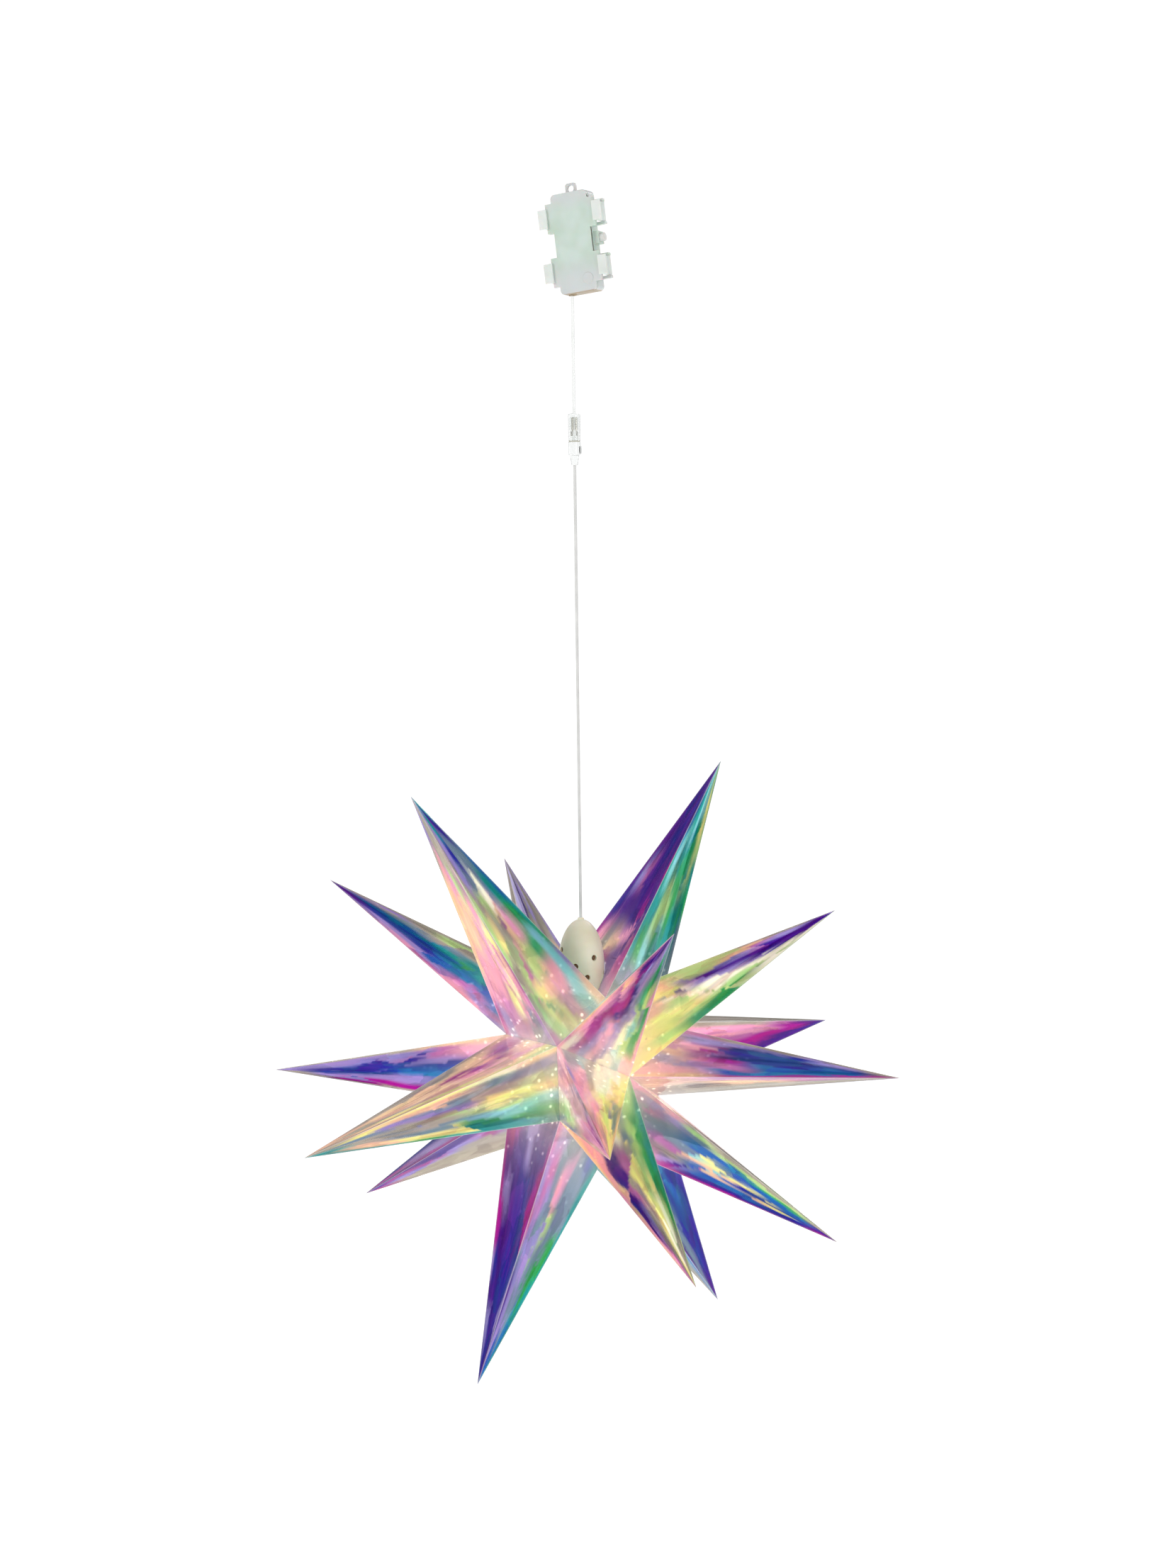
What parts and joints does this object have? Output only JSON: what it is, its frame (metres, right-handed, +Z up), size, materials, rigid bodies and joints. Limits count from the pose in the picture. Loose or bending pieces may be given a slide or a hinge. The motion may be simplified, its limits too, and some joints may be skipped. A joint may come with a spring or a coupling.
{
  "type": "hanging star lantern",
  "caption": "Hanging lantern: hollow film spikes in a star round an egg of small lamps, on a thin cord with an in-line plug below a latched battery box with a hanging loop.",
  "frame": {"origin": "middle of the hanging loop's hole, from which everything hangs", "axes": "+Z up along the hanging cord, +Y along the loop's hole from the box's cover to its back, +X to the side with the push button"},
  "size_m": [0.5521, 0.5341, 1.0247],
  "materials": {
    "case_plastic": "pale frosted green-grey, slightly see-through",
    "latch_plastic": "clear-grey moulded",
    "seal_rubber": "soft pale silicone",
    "steel_wire": "drawn wire",
    "button_rubber": "matt grey-white",
    "dark_plastic": "moulded",
    "cell_jacket": "printed film sleeve, plain",
    "nickel_plate": "nickelled",
    "board_laminate": "green solder mask",
    "lead_insulation": "thin PVC sleeve",
    "bush_rubber": "tan soft PVC",
    "cord_sheath": "clear PVC over fine leads",
    "coupler_plastic": "clear moulded",
    "egg_plastic": "warm white, slightly see-through",
    "lamp_epoxy": "clear resin lens",
    "star_film": "clear iridescent film"
  },
  "bodies": {
    "battery_box": {"battery_tray": "case_plastic", "box_gasket": "seal_rubber", "latch_pins": "steel_wire", "battery_cell_1": "cell_jacket", "battery_cell_2": "cell_jacket", "battery_cell_3": "cell_jacket", "contact_plates": "nickel_plate", "contact_springs": "nickel_plate", "timer_board": "board_laminate", "board_screws": "steel_wire", "board_posts": "case_plastic", "inner_leads": "lead_insulation", "tact_switch": "dark_plastic", "cord_bush": "bush_rubber"},
    "battery_cover": {"battery_cover": "case_plastic"},
    "latch_right_upper": {"latch_right_upper": "latch_plastic"},
    "latch_right_lower": {"latch_right_lower": "latch_plastic"},
    "latch_left_upper": {"latch_left_upper": "latch_plastic"},
    "latch_left_lower": {"latch_left_lower": "latch_plastic"},
    "power_button": {"power_button": "button_rubber"},
    "cord_ball": {"cord_ball": "cord_sheath"},
    "cord_line": {"upper_cord": "cord_sheath", "socket_shell": "coupler_plastic", "socket_contacts": "nickel_plate"},
    "plug": {"plug_shell": "coupler_plastic", "plug_prongs": "nickel_plate", "plug_seal": "seal_rubber"},
    "star": {"lower_cord": "cord_sheath", "egg_shell_right": "egg_plastic", "egg_shell_left": "egg_plastic", "lamp_bulbs": "lamp_epoxy", "lamp_post": "egg_plastic", "egg_grommet": "bush_rubber", "film_spike_equator_1": "star_film", "film_spike_equator_2": "star_film", "film_spike_equator_3": "star_film", "film_spike_equator_4": "star_film", "film_spike_equator_5": "star_film", "film_spike_equator_6": "star_film", "film_spike_front_1": "star_film", "film_spike_front_2": "star_film", "film_spike_front_3": "star_film", "film_spike_front_4": "star_film", "film_spike_front_5": "star_film", "film_spike_front_6": "star_film", "film_spike_back_1": "star_film", "film_spike_back_2": "star_film", "film_spike_back_3": "star_film", "film_spike_back_4": "star_film", "film_spike_back_5": "star_film", "film_spike_back_6": "star_film"}
  },
  "joints": [
    {"name": "cover_lift", "type": "slide", "parent": "battery_box", "child": "battery_cover", "axis": [0, -1, 0], "range_m": [0, 0.0095]},
    {"name": "latch_right_upper_swing", "type": "hinge", "parent": "battery_box", "child": "latch_right_upper", "pos_m": [0.02723, 0.0041, -0.02017], "axis": [-0.1121, 0, 0.9937], "range_deg": [0, 110]},
    {"name": "latch_right_lower_swing", "type": "hinge", "parent": "battery_box", "child": "latch_right_lower", "pos_m": [0.03237, 0.0041, -0.06569], "axis": [-0.1121, 0, 0.9937], "range_deg": [0, 110]},
    {"name": "latch_left_upper_swing", "type": "hinge", "parent": "battery_box", "child": "latch_left_upper", "pos_m": [-0.02205, 0.0041, -0.02573], "axis": [0.1121, 0, -0.9937], "range_deg": [0, 110]},
    {"name": "latch_left_lower_swing", "type": "hinge", "parent": "battery_box", "child": "latch_left_lower", "pos_m": [-0.01692, 0.0041, -0.07125], "axis": [0.1121, 0, -0.9937], "range_deg": [0, 110]},
    {"name": "button_press", "type": "slide", "parent": "battery_box", "child": "power_button", "axis": [-0.9937, 0, -0.1121], "range_m": [0, 0.001], "stiffness_N_per_m": 400, "springref_m": -0.0005},
    {"name": "swing_sideways", "type": "hinge", "parent": "battery_box", "child": "cord_ball", "pos_m": [0, 0, -0.08564], "axis": [0, 1, 0], "range_deg": [-12, 12]},
    {"name": "swing_forwards", "type": "hinge", "parent": "cord_ball", "child": "cord_line", "pos_m": [0, 0, -0.08564], "axis": [1, 0, 0], "range_deg": [-12, 12]},
    {"name": "plug_pull", "type": "slide", "parent": "cord_line", "child": "plug", "axis": [0, 0, -1], "range_m": [0, 0.012]},
    {"name": "star_turn", "type": "hinge", "parent": "plug", "child": "star", "pos_m": [0, 0, -0.4], "axis": [0, 0, 1], "range_deg": [-180, 180]}
  ],
  "couplings": [
    {"joint": "latch_right_upper_swing", "follows": "cover_lift", "rad_per_m": 200},
    {"joint": "latch_right_lower_swing", "follows": "cover_lift", "rad_per_m": 200},
    {"joint": "latch_left_upper_swing", "follows": "cover_lift", "rad_per_m": 200},
    {"joint": "latch_left_lower_swing", "follows": "cover_lift", "rad_per_m": 200}
  ]
}
